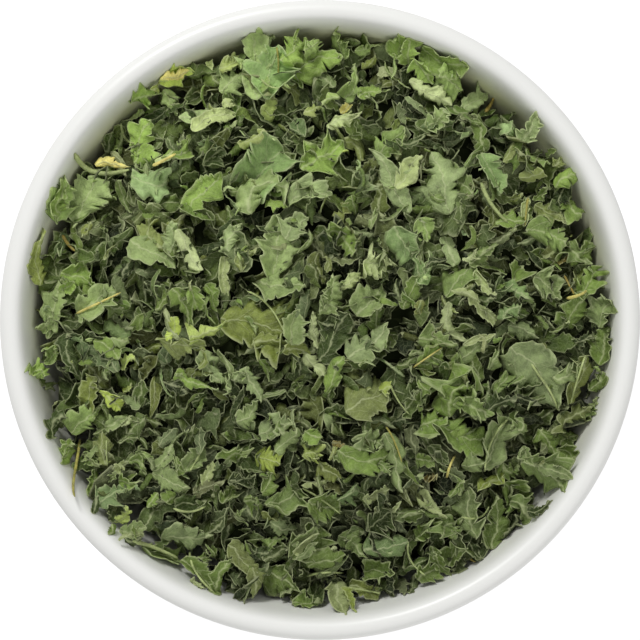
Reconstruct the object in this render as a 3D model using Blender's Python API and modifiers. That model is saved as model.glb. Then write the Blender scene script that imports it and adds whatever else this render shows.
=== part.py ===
"""A bowl of dried kale flakes, in metres, with +Z up.

The origin is the centre of the circle that the bowl's foot stands on. The bowl is
turned from one profile. The heap is a packed core that fills the bowl up to a low
dome, with curled leaf flakes and pale midrib pieces standing out of it.
"""

import math
import random

import bmesh
import bpy
from mathutils import Matrix, Vector

MM = 0.001

# Bowl: driving dimensions
BOWL_HEIGHT = 52 * MM
BOWL_RADIUS = 60 * MM
LIP_RADIUS = 2.1 * MM
WALL_FLARE = math.radians(15)
FLOOR_HEIGHT = 7.5 * MM
FLOOR_FLAT_RADIUS = 22 * MM
FOOT_RADIUS = 31 * MM
FOOT_WIDTH = 3.6 * MM
FOOT_HEIGHT = 3.2 * MM
FOOT_EDGE = 0.6 * MM
RECESS_HEIGHT = 2.6 * MM
BOWL_STEPS = 64

# How far the handles of the wall's curves reach from their ends
WALL_HANDLE = 22 * MM
INNER_FLOOR_HANDLE = 19 * MM
OUTER_FOOT_HANDLE = 17 * MM

# Heap: driving dimensions
HEAP_TOP = 52 * MM
HEAP_EDGE_HEIGHT = 43.5 * MM
HEAP_STEPS = 36
DOME_POWER = 2.2
CORE_GAP = 0.5 * MM
CORE_ROUGHNESS = 1.2 * MM
FLAKE_GAP = 0.3 * MM
SPACE_TOP = 70 * MM

# Small flakes that cover the heap, spread by a rule
FLAKE_COUNT = 100
FLAKE_SIDES = 10
FLAKE_THICKNESS = 0.7 * MM
FLAKE_SIZES = (12 * MM, 17 * MM)
FLAKE_REACH = 50.5 * MM
FLAKE_TILTS = (14, 38)
FLAKE_ROOT = 0.7 * MM

# Large flakes in their places: x, y, length and width in millimetres, and heading in degrees
LARGE_FLAKES = (
    (-8, 46, 15, 11, 70),
    (23, 45, 12, 9, 110),
    (24, 26, 13, 10, 60),
    (-11, 28, 13, 10, 130),
    (-31, 12, 11, 8, 160),
    (-13, 0, 14, 11, 140),
    (39, -10, 15, 10, 120),
    (31, -37, 13, 9, 60),
    (8, -15, 12, 9, 15),
    (12, -45, 10, 8, 40),
    (-26, -41, 12, 7, 10),
    (-8, -22, 11, 9, 70),
    (-9, 14, 15, 8, 100),
    (13, -27, 15, 5, 100),
    (-43, 22, 12, 8, 80),
    (25, -18, 13, 10, 30),
    (41, -29, 12, 8, 20),
    (28, 8, 11, 10, 150),
    (13, 27, 14, 6, 120),
    (-42, -22, 10, 7, 60),
)
LARGE_FLAKE_SIDES = 12
LARGE_FLAKE_TILTS = (8, 20)
CLEAR_OF_LARGE = 5 * MM

# Midrib pieces in their places: x, y and length in millimetres, and heading in degrees
RIBS = (
    (-41, 29, 12, -10),
    (33, 22, 10, 60),
    (-45, -27, 11, 105),
    (4, -48, 10, 95),
    (23, -44, 9, 130),
    (-20, 37, 10, 30),
    (-31, -43, 10, -30),
    (-42, 3, 10, 30),
    (30, 40, 8, 110),
    (40, 8, 9, 10),
)
RIB_SIDES = 6
RIB_RADIUS = 0.9 * MM
RIB_RISE = math.radians(16)
RIB_ROOT = 1.0 * MM

GOLDEN_ANGLE = math.radians(137.508)
SEED = 21
MERGE_DISTANCE = 0.00001


def clear_scene():
    """Removes the objects that the scene starts with."""
    for obj in list(bpy.data.objects):
        bpy.data.objects.remove(obj)


def new_collection(name):
    collection = bpy.data.collections.new(name)
    bpy.context.scene.collection.children.link(collection)
    return collection


def new_material(name, colour, roughness):
    """A non-metallic surface of one colour."""
    material = bpy.data.materials.new(name)
    material.use_nodes = True
    shader = material.node_tree.nodes["Principled BSDF"]
    shader.inputs["Base Color"].default_value = (*colour, 1)
    shader.inputs["Roughness"].default_value = roughness
    shader.inputs["Metallic"].default_value = 0
    return material


def new_object(name, mesh, collection):
    obj = bpy.data.objects.new(name, mesh)
    collection.objects.link(obj)
    return obj


def cubic(start, start_handle, end_handle, end, count):
    """Points of a cubic curve, without its start, as (radius, height) vectors."""
    points = []
    for i in range(1, count + 1):
        t = i / count
        u = 1 - t
        points.append(
            u**3 * start + 3 * u * u * t * start_handle + 3 * u * t * t * end_handle + t**3 * end
        )
    return points


def lip_point(angle):
    """A point of the rounded lip, at this angle round the lip's own centre."""
    centre = Vector((BOWL_RADIUS - LIP_RADIUS, BOWL_HEIGHT - LIP_RADIUS))
    return centre + LIP_RADIUS * Vector((math.cos(angle), math.sin(angle)))


def inner_wall(count):
    """The bowl's inside from the edge of its flat floor up to the lip."""
    floor_edge = Vector((FLOOR_FLAT_RADIUS, FLOOR_HEIGHT))
    lip_start = lip_point(math.pi - WALL_FLARE)
    flare = Vector((math.sin(WALL_FLARE), math.cos(WALL_FLARE)))
    return [floor_edge] + cubic(
        floor_edge,
        floor_edge + Vector((INNER_FLOOR_HANDLE, 0)),
        lip_start - WALL_HANDLE * flare,
        lip_start,
        count,
    )


def outer_wall(count):
    """The bowl's outside from the lip down to the foot."""
    lip_end = lip_point(-WALL_FLARE)
    flare = Vector((math.sin(WALL_FLARE), math.cos(WALL_FLARE)))
    foot_top = Vector((FOOT_RADIUS, FOOT_HEIGHT))
    return cubic(
        lip_end,
        lip_end - WALL_HANDLE * flare,
        foot_top + Vector((OUTER_FOOT_HANDLE, 0)),
        foot_top,
        count,
    )


def bowl_profile():
    """The bowl's section: up the inside, over the lip, down the outside, and under the foot."""
    lip_turns = 12
    lip = [
        lip_point(math.pi - WALL_FLARE - math.pi * i / lip_turns)
        for i in range(1, lip_turns + 1)
    ]
    foot_inside = FOOT_RADIUS - FOOT_WIDTH
    foot = [
        Vector((FOOT_RADIUS - FOOT_EDGE / 2, FOOT_EDGE)),
        Vector((FOOT_RADIUS - FOOT_EDGE, 0)),
        Vector((foot_inside + FOOT_EDGE, 0)),
        Vector((foot_inside + FOOT_EDGE / 2, FOOT_EDGE)),
        Vector((foot_inside, RECESS_HEIGHT)),
    ]
    return (
        [Vector((0, FLOOR_HEIGHT))]
        + inner_wall(8)
        + lip
        + outer_wall(8)
        + foot
        + [Vector((0, RECESS_HEIGHT))]
    )


def inside_line(gap, top):
    """The bowl's inside, moved inwards by a gap, from this height down to the middle of its floor."""
    points = inner_wall(8)
    line = []
    for i, point in enumerate(points):
        before = points[max(i - 1, 0)]
        after = points[min(i + 1, len(points) - 1)]
        along = (after - before).normalized()
        line.append(point + gap * Vector((-along.y, along.x)))
    line = [point for point in line if point.y < top]
    line.reverse()
    return line + [Vector((0, FLOOR_HEIGHT + gap))]


def wall_radius(height, gap):
    """How far the bowl's inside is from the axis at this height, less a gap."""
    points = inner_wall(40)
    for low, high in zip(points, points[1:]):
        if low.y <= height <= high.y:
            share = (height - low.y) / (high.y - low.y)
            return low.x + share * (high.x - low.x) - gap
    return points[-1].x - gap


def dome_height(radius):
    """The height of the packed core's top at this distance from the axis."""
    edge = wall_radius(HEAP_EDGE_HEIGHT, CORE_GAP)
    drop = HEAP_TOP - HEAP_EDGE_HEIGHT
    return HEAP_TOP - drop * min(radius / edge, 1) ** DOME_POWER


def turned(name, profile, steps, collection):
    """A solid turned round the Z axis from a section that starts and ends on it."""
    mesh = bpy.data.meshes.new(name)
    points = [(point.x, 0, point.y) for point in profile]
    mesh.from_pydata(points, [(i, i + 1) for i in range(len(points) - 1)], [])
    obj = new_object(name, mesh, collection)
    screw = obj.modifiers.new("turn", "SCREW")
    screw.axis = "Z"
    screw.angle = 2 * math.pi
    screw.steps = steps
    screw.render_steps = steps
    screw.use_merge_vertices = True
    screw.merge_threshold = MERGE_DISTANCE
    return obj


def bake(obj):
    """Replaces the object's mesh by its evaluated one and drops its modifiers."""
    graph = bpy.context.evaluated_depsgraph_get()
    mesh = bpy.data.meshes.new_from_object(obj.evaluated_get(graph), depsgraph=graph)
    obj.modifiers.clear()
    obj.data = mesh


def make_bowl(parts):
    bowl = turned("bowl", bowl_profile(), BOWL_STEPS, parts)
    bowl.data.materials.append(new_material("white_porcelain", (0.86, 0.86, 0.84), 0.18))
    bake(bowl)
    bowl.data.shade_smooth()
    bowl.data.set_sharp_from_angle(angle=math.radians(40))


def make_core(rng, parts):
    """The packed inside of the heap: the bowl's shape below, and a rough dome above."""
    edge = wall_radius(HEAP_EDGE_HEIGHT, CORE_GAP)
    rings = 7
    dome = [
        Vector((edge * i / rings, dome_height(edge * i / rings))) for i in range(rings + 1)
    ]
    core = turned("kale_heap", dome + inside_line(CORE_GAP, HEAP_EDGE_HEIGHT), HEAP_STEPS, parts)
    bake(core)
    for vertex in core.data.vertices:
        if vertex.co.z > HEAP_EDGE_HEIGHT + CORE_ROUGHNESS:
            share = math.hypot(vertex.co.x, vertex.co.y) / edge
            vertex.co.z += share * rng.uniform(-CORE_ROUGHNESS, CORE_ROUGHNESS)
    return core


def heap_frame(x, y, lift):
    """Axes on the dome at this place: Z along its surface normal, moved out by lift."""
    step = 0.5 * MM
    radius = math.hypot(x, y)
    slope = (dome_height(radius + step) - dome_height(radius)) / step
    outward = Vector((x, y, 0)).normalized()
    normal = (Vector((0, 0, 1)) - slope * outward).normalized()
    place = Vector((x, y, dome_height(radius))) + lift * normal
    return Matrix.Translation(place) @ normal.to_track_quat("Z", "Y").to_matrix().to_4x4()


def turn(degrees, axis):
    return Matrix.Rotation(math.radians(degrees), 4, axis)


def make_flake(name, place, size, sides, rng, pieces):
    """A thin flake: a fan with a torn outline, of this length and width, rolled and twisted."""
    length, width = size
    roll = rng.uniform(0.15, 0.38) * rng.choice((-1, 1))
    twist = rng.uniform(-0.25, 0.25)
    mesh = bpy.data.meshes.new(name)
    shape = bmesh.new()
    bmesh.ops.create_circle(shape, cap_ends=True, cap_tris=True, segments=sides, radius=0.5)
    for i, vertex in enumerate(shape.verts):
        if vertex.co.length > 0.25:
            vertex.co *= rng.uniform(0.95, 1.2) if i % 2 else rng.uniform(0.62, 0.85)
        x, y = vertex.co.x, vertex.co.y
        vertex.co = (length * x, width * y, width * (2 * roll * y * y + twist * x * y))
    bmesh.ops.transform(shape, matrix=place, verts=shape.verts)
    bmesh.ops.recalc_face_normals(shape, faces=shape.faces)
    shape.to_mesh(mesh)
    shape.free()
    flake = new_object(name, mesh, pieces)
    wall = flake.modifiers.new("thickness", "SOLIDIFY")
    wall.thickness = FLAKE_THICKNESS
    wall.offset = 0
    bake(flake)


def near_large_flake(x, y):
    return any(
        math.hypot(x - flake[0] * MM, y - flake[1] * MM) < CLEAR_OF_LARGE for flake in LARGE_FLAKES
    )


def scatter_flakes(pieces, rng):
    """Small flakes on a sunflower spiral, each turned and tilted at random, one edge in the core."""
    for i in range(FLAKE_COUNT):
        radius = FLAKE_REACH * math.sqrt((i + 0.5) / FLAKE_COUNT)
        x = radius * math.cos(i * GOLDEN_ANGLE)
        y = radius * math.sin(i * GOLDEN_ANGLE)
        if near_large_flake(x, y):
            continue
        length = rng.uniform(*FLAKE_SIZES)
        width = length * rng.uniform(0.6, 0.9)
        tilt = rng.uniform(*FLAKE_TILTS)
        lift = width / 2 * math.sin(math.radians(tilt)) * 0.8 - FLAKE_ROOT
        frame = heap_frame(x, y, lift) @ turn(rng.uniform(0, 360), "Z") @ turn(tilt, "X")
        make_flake(f"flake_{i}", frame, (length, width), FLAKE_SIDES, rng, pieces)


def place_large_flakes(pieces, rng):
    """Large flakes lying on top, with one long edge in the core."""
    for i, (x, y, length, width, heading) in enumerate(LARGE_FLAKES):
        tilt = rng.uniform(*LARGE_FLAKE_TILTS)
        lift = width * MM / 2 * math.sin(math.radians(tilt)) + FLAKE_ROOT
        frame = heap_frame(x * MM, y * MM, lift) @ turn(heading, "Z") @ turn(tilt, "X")
        size = (length * MM, width * MM)
        make_flake(f"large_flake_{i}", frame, size, LARGE_FLAKE_SIDES, rng, pieces)


def place_ribs(pieces):
    """Tapered pieces of midrib, each with its thick end sunk in the core."""
    for i, (x, y, length, heading) in enumerate(RIBS):
        lift = length * MM / 2 * math.sin(RIB_RISE) + RIB_ROOT
        place = (
            heap_frame(x * MM, y * MM, lift)
            @ turn(heading, "Z")
            @ Matrix.Rotation(math.pi / 2 - RIB_RISE, 4, "Y")
        )
        mesh = bpy.data.meshes.new(f"rib_{i}")
        shape = bmesh.new()
        bmesh.ops.create_cone(
            shape,
            cap_ends=True,
            segments=RIB_SIDES,
            radius1=RIB_RADIUS,
            radius2=RIB_RADIUS * 0.55,
            depth=length * MM,
            matrix=place,
        )
        shape.to_mesh(mesh)
        shape.free()
        new_object(f"rib_{i}", mesh, pieces)


def keep_largest_island(mesh):
    """Drops loose scraps and fills sealed hollows: only the piece with the most faces stays."""
    shape = bmesh.new()
    shape.from_mesh(mesh)
    unseen = set(shape.faces)
    islands = []
    while unseen:
        island = [unseen.pop()]
        for face in island:
            for edge in face.edges:
                if len(edge.link_faces) > 2:
                    continue
                for neighbour in edge.link_faces:
                    if neighbour in unseen:
                        unseen.remove(neighbour)
                        island.append(neighbour)
        islands.append(island)
    islands.sort(key=len)
    for island in islands[:-1]:
        bmesh.ops.delete(shape, geom=island, context="FACES")
    bmesh.ops.triangulate(shape, faces=shape.faces)
    shape.to_mesh(mesh)
    shape.free()


def join_and_trim(heap, pieces, space):
    """Unites the heap with its pieces, then keeps what lies inside the bowl's free space."""
    union = heap.modifiers.new("join", "BOOLEAN")
    union.operation = "UNION"
    union.operand_type = "COLLECTION"
    union.collection = pieces
    union.solver = "MANIFOLD"
    bake(heap)
    trim = heap.modifiers.new("trim", "BOOLEAN")
    trim.operation = "INTERSECT"
    trim.object = space
    trim.solver = "MANIFOLD"
    bake(heap)
    keep_largest_island(heap.data)
    for obj in list(pieces.objects):
        bpy.data.objects.remove(obj)
    bpy.data.collections.remove(pieces)


def make_space(guides):
    """The room inside the bowl, with a straight wall above the lip's inner edge."""
    line = inside_line(FLAKE_GAP, BOWL_HEIGHT)
    outline = [Vector((0, SPACE_TOP)), Vector((line[0].x, SPACE_TOP))] + line
    space = turned("bowl_space", outline, BOWL_STEPS, guides)
    space.hide_render = True
    space.display_type = "WIRE"
    bake(space)
    return space


def make_heap(parts, guides):
    rng = random.Random(SEED)
    heap = make_core(rng, parts)
    pieces = new_collection("heap_pieces")
    scatter_flakes(pieces, rng)
    place_large_flakes(pieces, rng)
    place_ribs(pieces)
    join_and_trim(heap, pieces, make_space(guides))
    heap.data.materials.clear()
    heap.data.materials.append(new_material("dried_kale", (0.17, 0.23, 0.085), 0.7))


def main():
    clear_scene()
    parts = new_collection("bowl_of_kale_flakes")
    guides = new_collection("guides")
    make_bowl(parts)
    make_heap(parts, guides)


main()
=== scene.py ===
"""Looks of a bowl of dried kale flakes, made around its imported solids.

Every surface is a function of two parameters, worked out for many flakes at once. The
flakes are dropped one after another on a height map of the pile, so that they lie on
each other as real ones do. Lengths are in metres, and angles in radians.
"""

import math

import bpy
import numpy as np
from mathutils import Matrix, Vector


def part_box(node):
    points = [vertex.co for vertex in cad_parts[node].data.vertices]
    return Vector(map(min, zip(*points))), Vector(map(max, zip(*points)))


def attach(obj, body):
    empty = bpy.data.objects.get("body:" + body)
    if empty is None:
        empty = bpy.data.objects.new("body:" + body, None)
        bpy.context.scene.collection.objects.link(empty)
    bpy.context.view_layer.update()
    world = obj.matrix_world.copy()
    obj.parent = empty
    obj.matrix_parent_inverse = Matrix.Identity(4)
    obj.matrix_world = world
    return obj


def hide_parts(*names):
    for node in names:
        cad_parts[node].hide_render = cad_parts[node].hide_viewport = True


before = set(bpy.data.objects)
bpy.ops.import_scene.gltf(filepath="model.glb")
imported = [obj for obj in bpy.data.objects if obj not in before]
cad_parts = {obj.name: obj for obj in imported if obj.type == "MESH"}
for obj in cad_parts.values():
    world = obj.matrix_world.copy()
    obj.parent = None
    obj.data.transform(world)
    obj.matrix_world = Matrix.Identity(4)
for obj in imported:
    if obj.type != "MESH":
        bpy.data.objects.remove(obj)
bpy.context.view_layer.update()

MM = 0.001
TURN = 2 * math.pi

# Sizes read from the frame
bowl_low, bowl_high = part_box("bowl")
BOWL_RADIUS = (bowl_high[0] - bowl_low[0]) / 2
BOWL_HEIGHT = bowl_high[2] - bowl_low[2]

# The photograph: the bowl's outer edge is a circle that fills its width
PHOTO_PIXELS = 640
PHOTO_CENTRE = (319.5, 319.6)
PIXEL = 2 * BOWL_RADIUS / PHOTO_PIXELS

# Bowl section, as in the solid
LIP_RADIUS = 2.1 * MM
WALL_FLARE = math.radians(15)
FLOOR_HEIGHT = 7.5 * MM
FLOOR_FLAT_RADIUS = 22 * MM
FOOT_RADIUS = 31 * MM
FOOT_WIDTH = 3.6 * MM
FOOT_HEIGHT = 3.2 * MM
FOOT_EDGE = 0.6 * MM
RECESS_HEIGHT = 2.6 * MM
WALL_HANDLE = 22 * MM
ROLL_DEPTH = 6 * MM
ROLL_HANDLES = (4.0 * MM, 2.4 * MM)
ROLL_STEPS = 14
INNER_FLOOR_HANDLE = 19 * MM
OUTER_FOOT_HANDLE = 17 * MM
BOWL_STEPS = 224

# Heap, as in the solid
HEAP_TOP = 52 * MM
HEAP_EDGE_HEIGHT = 43.5 * MM
DOME_POWER = 2.2
CORE_GAP = 0.5 * MM

# Flakes at the wall: gap to the glaze, how far a loose and a noted one may cut the wall before it is
# moved in, and the share of what still cuts it that is pulled back
WALL_GAP = 0.15 * MM
WALL_PRESS = 0.4 * MM
NOTED_WALL_PRESS = 3.2 * MM
WALL_PULL = 0.4

# Pile of flakes
CORE_SINK = 4 * MM
CORE_EDGE = 6 * MM
CORE_SIDE = 8 * MM
PILE_CELLS = 190
LOOSE_PRESS = 80
FLAKE_THICKNESS = 0.16 * MM
SEED = 4

# Bays where the heap stays clear of the wall: direction, half width and depth
EDGE_BAYS = (
    (math.radians(140), math.radians(24), 2.2 * MM),
    (math.radians(58), math.radians(22), 1.4 * MM),
    (math.radians(318), math.radians(20), 1.2 * MM),
    (math.radians(236), math.radians(20), 1.0 * MM),
)

CAMERA_HEIGHT = 0.75

# Light from all sides: from above, and from a white ground below
SKY_LIGHT = 0.53
GROUND_LIGHT = 0.80

# A round lamp: place, diameter and power
KEY_LIGHT = ((-0.31, 0.70, 0.75), 0.22, 5.4)
FILL_LIGHT = ((0.30, -0.50, 0.50), 0.8, 1.25)

FLOOR_SIZE = 6
FLOOR_GREY = 0.3
FLOOR_GLOW = 0.85

# Glaze and bare clay: the two colours that each wavers between, and roughness
GLAZE_COLOURS = ((0.845, 0.847, 0.816), (0.875, 0.877, 0.849))
CLAY_COLOURS = ((0.66, 0.63, 0.57), (0.78, 0.75, 0.69))
GLAZE_ROUGHNESS = 0.36
CLAY_ROUGHNESS = 0.75

# Painted green shade on the glaze above the heap: what it multiplies the colour by, its top, and how fast
# it thins
PAINTED_WALL_SHADE_TINT = (0.85, 0.87, 0.53)
PAINTED_WALL_SHADE_TOP = 51.6 * MM
PAINTED_WALL_SHADE_POWER = 1.3

# Nearly black leaf for the heap's core: painted shade where the gaps between the flakes are deep
GAP_SHADE_COLOURS = ((0.006, 0.009, 0.003), (0.032, 0.042, 0.016))
# Pale colour of the veins, and of the leaf edges, where it is partly a painted highlight
VEIN_AND_EDGE_HIGHLIGHT_COLOUR = (0.62, 0.67, 0.37)

# Leaf colours, as linear reflectance
LEAF_COLOURS = {
    "fresh": (0.218, 0.320, 0.067),
    "mid": (0.179, 0.259, 0.056),
    "grey": (0.267, 0.348, 0.125),
    "dark": (0.042, 0.068, 0.011),
    "blue": (0.214, 0.312, 0.108),
    "olive": (0.210, 0.255, 0.058),
    "yellow": (0.400, 0.500, 0.095),
    "pale": (0.400, 0.470, 0.190),
    "straw": (0.700, 0.620, 0.190),
    "gold": (0.380, 0.350, 0.085),
    "brown": (0.340, 0.262, 0.060),
}

# How common each colour is among the loose flakes
COLOUR_SHARES = {
    "fresh": 0.21, "mid": 0.30, "grey": 0.18, "dark": 0.13,
    "blue": 0.04, "olive": 0.08, "yellow": 0.02, "pale": 0.03,
}
COLOUR_SPREAD = 0.12


def wall_radius(height, gap=0.0):
    """How far the bowl's inside is from the axis at these heights, less a gap."""
    wall = inner_wall(48)
    return np.interp(height, wall[:, 1], wall[:, 0]) - gap


def glaze_height(radius):
    """How high a thin leaf lies on the bowl's inside at these distances from the axis."""
    wall = inner_wall(48)
    return np.interp(radius + WALL_GAP, wall[:, 0], wall[:, 1])


def cubic(start, start_handle, end_handle, end, count):
    """Points of a cubic Bezier curve from its start to its end, as rows of radius and height."""
    t = np.linspace(0, 1, count + 1)[:, None]
    u = 1 - t
    points = (start, start_handle, end_handle, end)
    a, b, c, d = (np.array(point) for point in points)
    return u**3 * a + 3 * u * u * t * b + 3 * u * t * t * c + t**3 * d


def lip_point(angle):
    """Points of the rounded lip at these angles round the lip's own centre."""
    centre = np.array((BOWL_RADIUS - LIP_RADIUS, BOWL_HEIGHT - LIP_RADIUS))
    return centre + LIP_RADIUS * np.stack((np.cos(angle), np.sin(angle)), -1)


def inner_wall(count):
    """The bowl's inside from the edge of its flat floor up to the top of the lip, into which it rolls."""
    floor_edge = np.array((FLOOR_FLAT_RADIUS, FLOOR_HEIGHT))
    flare = np.array((math.sin(WALL_FLARE), math.cos(WALL_FLARE)))
    roll = lip_point(math.pi - WALL_FLARE) - ROLL_DEPTH * flare
    top = lip_point(math.pi / 2)
    handle = floor_edge + (INNER_FLOOR_HANDLE, 0)
    wall = cubic(floor_edge, handle, roll - (WALL_HANDLE - ROLL_DEPTH) * flare, roll, count)
    over = cubic(roll, roll + ROLL_HANDLES[0] * flare, top - (ROLL_HANDLES[1], 0), top, ROLL_STEPS)
    return np.concatenate([wall, over[1:]])


def outer_wall(count):
    """The bowl's outside from the lip down to the foot."""
    lip_end = lip_point(-WALL_FLARE)
    flare = np.array((math.sin(WALL_FLARE), math.cos(WALL_FLARE)))
    foot_top = np.array((FOOT_RADIUS, FOOT_HEIGHT))
    handle = foot_top + (OUTER_FOOT_HANDLE, 0)
    return cubic(lip_end, lip_end - WALL_HANDLE * flare, handle, foot_top, count)


def rounded_corner(corner, before, after, radius, count=5):
    """A corner of a section, rounded by a quadratic curve that starts and ends a radius away."""
    corner, before, after = (np.array(point, float) for point in (corner, before, after))
    start = corner + radius * (before - corner) / np.linalg.norm(before - corner)
    end = corner + radius * (after - corner) / np.linalg.norm(after - corner)
    t = np.linspace(0, 1, count)[:, None]
    return (1 - t) ** 2 * start + 2 * t * (1 - t) * corner + t * t * end


def bowl_section():
    """Rows of radius and height: up the inside, over the lip, down the outside, under the foot."""
    floor = np.stack((np.linspace(0, FLOOR_FLAT_RADIUS, 8), np.full(8, FLOOR_HEIGHT)), -1)[:-1]
    lip = lip_point(math.pi / 2 - np.linspace(0, math.pi / 2 + WALL_FLARE, 16)[1:-1])
    inside = FOOT_RADIUS - FOOT_WIDTH
    foot = [(FOOT_RADIUS, FOOT_HEIGHT), (FOOT_RADIUS, 0), (inside, 0), (inside, RECESS_HEIGHT)]
    corners = [
        rounded_corner(foot[1], foot[0], foot[2], FOOT_EDGE),
        rounded_corner(foot[2], foot[1], foot[3], FOOT_EDGE),
        rounded_corner(foot[3], foot[2], (0, RECESS_HEIGHT), FOOT_EDGE),
    ]
    recess = np.stack((np.linspace(inside - 2 * MM, 0, 6), np.full(6, RECESS_HEIGHT)), -1)
    return np.concatenate([floor, inner_wall(34), lip, outer_wall(34), *corners, recess])


def dome_height(radius):
    """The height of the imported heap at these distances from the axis: a power of the distance."""
    edge = wall_radius(HEAP_EDGE_HEIGHT, CORE_GAP)
    drop = HEAP_TOP - HEAP_EDGE_HEIGHT
    return HEAP_TOP - drop * np.minimum(radius / edge, 1) ** DOME_POWER


def new_mesh_object(name, points, triangles, quads, attributes=(), uv=None):
    """One mesh object from arrays of points, triangles and quads, with a value for each point."""
    mesh = bpy.data.meshes.new(name)
    corners = np.concatenate([triangles.reshape(-1), quads.reshape(-1)]).astype(np.int32)
    starts = np.concatenate([
        np.arange(len(triangles)) * 3,
        len(triangles) * 3 + np.arange(len(quads)) * 4,
    ]).astype(np.int32)
    mesh.vertices.add(len(points))
    mesh.vertices.foreach_set("co", points.astype(np.float32).reshape(-1))
    mesh.loops.add(len(corners))
    mesh.loops.foreach_set("vertex_index", corners)
    mesh.polygons.add(len(starts))
    mesh.polygons.foreach_set("loop_start", starts)
    mesh.update(calc_edges=True)
    for label, kind, values in attributes:
        layer = mesh.attributes.new(label, kind, "POINT")
        key = "color" if kind == "FLOAT_COLOR" else "value"
        layer.data.foreach_set(key, values.astype(np.float32).reshape(-1))
    if uv is not None:
        layer = mesh.uv_layers.new(name="leaf_map")
        layer.data.foreach_set("uv", uv[corners].astype(np.float32).reshape(-1))
    mesh.polygons.foreach_set("use_smooth", np.ones(len(starts), bool))
    mesh.update()
    obj = bpy.data.objects.new(name, mesh)
    bpy.context.scene.collection.objects.link(obj)
    return obj


def turned_surface(name, section, steps, painted_wall_shade):
    """A section turned round the Z axis: point (i, j) is row i of the section at angle j.

    Each row of the section has its share of painted wall shade, which becomes an attribute.
    """
    angle = np.arange(steps) / steps * TURN
    ring = section[1:-1]
    grid = np.stack([
        ring[:, None, 0] * np.cos(angle),
        ring[:, None, 0] * np.sin(angle),
        np.repeat(ring[:, 1:2], steps, 1),
    ], -1)
    rows = len(ring)
    points = np.concatenate([grid.reshape(-1, 3), [(0, 0, section[0, 1])], [(0, 0, section[-1, 1])]])
    index = np.arange(rows * steps).reshape(rows, steps)
    following = np.roll(index, -1, 1)
    quads = np.stack([index[:-1], index[1:], following[1:], following[:-1]], -1).reshape(-1, 4)
    first = np.stack([np.full(steps, rows * steps), index[0], following[0]], -1)
    last = np.stack([np.full(steps, rows * steps + 1), following[-1], index[-1]], -1)
    painted_wall_shade = np.concatenate([np.repeat(painted_wall_shade[1:-1], steps), painted_wall_shade[[0, -1]]])
    return new_mesh_object(name, points, np.concatenate([first, last]), quads, (("painted_wall_shade", "FLOAT", painted_wall_shade),))


def node_material(name, roughness, base=(0.8, 0.8, 0.8)):
    """A new material with its Principled shader, and a function that adds nodes to it."""
    material = bpy.data.materials.new(name)
    material.use_nodes = True
    tree = material.node_tree
    shader = tree.nodes["Principled BSDF"]
    shader.inputs["Roughness"].default_value = roughness
    shader.inputs["Base Color"].default_value = (*base, 1)
    shader.inputs["Metallic"].default_value = 0

    def add(kind, inputs=(), **settings):
        node = tree.nodes.new(kind)
        for key, value in settings.items():
            setattr(node, key, value)
        for key, value in dict(inputs).items():
            if isinstance(value, bpy.types.NodeSocket):
                tree.links.new(value, node.inputs[key])
            else:
                node.inputs[key].default_value = value
        return node

    return material, shader, add


def mixed(add, share, first, second, blend="MIX"):
    """The output of a node that mixes two colours, each a socket or a colour."""
    pair = [value if isinstance(value, bpy.types.NodeSocket) else (*value, 1) for value in (first, second)]
    inputs = {0: share, 6: pair[0], 7: pair[1]}
    return add("ShaderNodeMix", inputs, data_type="RGBA", blend_type=blend).outputs[2]


def ranged(add, value, source, target):
    """The output of a node that takes one range of values to another."""
    return add("ShaderNodeMapRange", dict(enumerate((value, *source, *target)))).outputs[0]


def worked_out(add, operation, *values):
    """The output of a math node on these values."""
    return add("ShaderNodeMath", dict(enumerate(values)), operation=operation).outputs[0]


def link(material, output, socket):
    material.node_tree.links.new(output, socket)


def porcelain():
    """White glaze: faint warm clouds, painted green shade on the inside above the heap, more towards the
    back, and the foot's bare clay.
    """
    material, shader, add = node_material("white_porcelain", GLAZE_ROUGHNESS)
    place = add("ShaderNodeTexCoord").outputs["Object"]
    split = add("ShaderNodeSeparateXYZ", {"Vector": place})
    cloud = add("ShaderNodeTexNoise", {"Vector": place, "Scale": 38.0, "Detail": 4.0})
    glaze = mixed(add, cloud.outputs["Fac"], *GLAZE_COLOURS)
    # Painted shade: darkens and greens the glaze above the heap, more towards the back, where the key lamp
    # leaves the wall in shade
    painted_wall_shade = add("ShaderNodeAttribute", attribute_name="painted_wall_shade").outputs["Fac"]
    more = ranged(add, split.outputs["Y"], (-0.05, 0.05), (0.1, 1.0))
    wall_shaded_glaze = mixed(add, worked_out(add, "MULTIPLY", painted_wall_shade, more), glaze, PAINTED_WALL_SHADE_TINT, "MULTIPLY")
    bare = ranged(add, split.outputs["Z"], (0.0007, 0.0011), (1.0, 0.0))
    grain = add("ShaderNodeTexNoise", {"Vector": place, "Scale": 2600.0, "Detail": 3.0})
    clay = mixed(add, grain.outputs["Fac"], *CLAY_COLOURS)
    rough = ranged(add, bare, (0.0, 1.0), (GLAZE_ROUGHNESS, CLAY_ROUGHNESS))
    wave = add("ShaderNodeTexNoise", {"Vector": place, "Scale": 150.0, "Detail": 2.0})
    bump = add("ShaderNodeBump", {"Height": wave.outputs["Fac"], "Strength": 0.035, "Distance": 0.001})
    link(material, mixed(add, bare, wall_shaded_glaze, clay), shader.inputs["Base Color"])
    link(material, rough, shader.inputs["Roughness"])
    link(material, bump.outputs[0], shader.inputs["Normal"])
    return material


def gap_shade_leaf():
    """What shows deep in the gaps: leaf coloured nearly black, painted shade standing for the deep gaps.
    """
    material, shader, add = node_material("gap_shade_leaf", 0.9)
    shader.inputs["Specular IOR Level"].default_value = 0.05
    place = add("ShaderNodeTexCoord").outputs["Object"]
    cells = add("ShaderNodeTexVoronoi", {"Vector": place, "Scale": 260.0})
    bump = add("ShaderNodeBump", {"Height": cells.outputs["Distance"], "Distance": 0.002})
    link(material, mixed(add, cells.outputs["Color"], *GAP_SHADE_COLOURS), shader.inputs["Base Color"])
    link(material, bump.outputs[0], shader.inputs["Normal"])
    return material


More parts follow.
